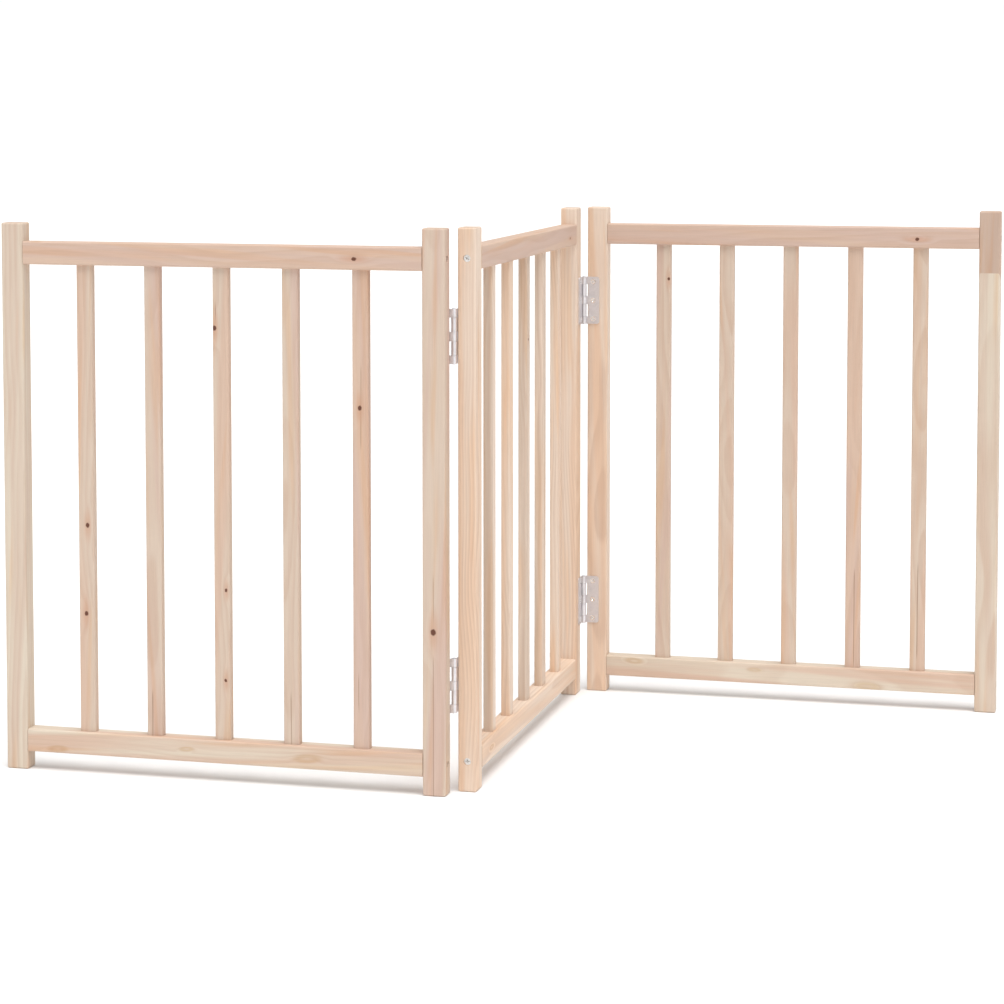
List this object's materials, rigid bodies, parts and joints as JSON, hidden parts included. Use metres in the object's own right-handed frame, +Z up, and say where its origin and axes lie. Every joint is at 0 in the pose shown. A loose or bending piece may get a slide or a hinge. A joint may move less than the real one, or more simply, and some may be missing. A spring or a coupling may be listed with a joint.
{
  "type": "folding pet gate",
  "caption": "Free-standing folding pet gate of hinged slatted wooden panels, shown standing in a Z, that folds flat or opens out in a line.",
  "frame": {"origin": "on the floor, under the middle of the middle panel", "axes": "+Z up; X along the two outer panels; Y along the middle panel; half a turn about Z leaves the gate as it is"},
  "size_m": [1.0332, 0.553, 0.6],
  "materials": {
    "pine": "bare planed softwood",
    "darker_pine": "bare planed softwood, darker length",
    "hinge_steel": "satin zinc plate",
    "hinge_screw_zinc": "bright zinc plate",
    "rail_screw_zinc": "dull zinc plate"
  },
  "bodies": {
    "middle_panel": {"left_lower_hinge_middle_leaf": "hinge_steel", "left_upper_hinge_middle_leaf": "hinge_steel", "middle_bottom_rail": "pine", "middle_far_post": "pine", "middle_hinge_screws": "hinge_screw_zinc", "middle_near_post": "pine", "middle_rail_screws": "rail_screw_zinc", "middle_slat_1": "pine", "middle_slat_2": "pine", "middle_slat_3": "pine", "middle_slat_4": "pine", "middle_slat_5": "pine", "middle_top_rail": "pine", "right_lower_hinge_middle_leaf": "hinge_steel", "right_upper_hinge_middle_leaf": "hinge_steel"},
    "left_panel": {"left_bottom_rail": "pine", "left_hinge_post": "pine", "left_hinge_screws": "hinge_screw_zinc", "left_lower_hinge_outer_leaf": "hinge_steel", "left_lower_hinge_pin": "hinge_steel", "left_outer_post": "pine", "left_rail_screws": "rail_screw_zinc", "left_slat_1": "pine", "left_slat_2": "pine", "left_slat_3": "pine", "left_slat_4": "pine", "left_slat_5": "pine", "left_top_rail": "pine", "left_upper_hinge_outer_leaf": "hinge_steel", "left_upper_hinge_pin": "hinge_steel"},
    "right_panel": {"right_bottom_rail": "pine", "right_hinge_post": "pine", "right_hinge_screws": "hinge_screw_zinc", "right_lower_hinge_outer_leaf": "hinge_steel", "right_lower_hinge_pin": "hinge_steel", "right_outer_post": "pine", "right_outer_post_top": "darker_pine", "right_rail_screws": "rail_screw_zinc", "right_slat_1": "pine", "right_slat_2": "pine", "right_slat_3": "pine", "right_slat_4": "pine", "right_slat_5": "pine", "right_top_rail": "pine", "right_upper_hinge_outer_leaf": "hinge_steel", "right_upper_hinge_pin": "hinge_steel"}
  },
  "joints": [
    {"name": "left_fold", "type": "hinge", "parent": "middle_panel", "child": "left_panel", "pos_m": [-0.01305, -0.2535, 0.3], "axis": [0, 0, 1], "range_deg": [-90, 90]},
    {"name": "right_fold", "type": "hinge", "parent": "middle_panel", "child": "right_panel", "pos_m": [0.01305, 0.2535, 0.3], "axis": [0, 0, 1], "range_deg": [-90, 90]}
  ]
}
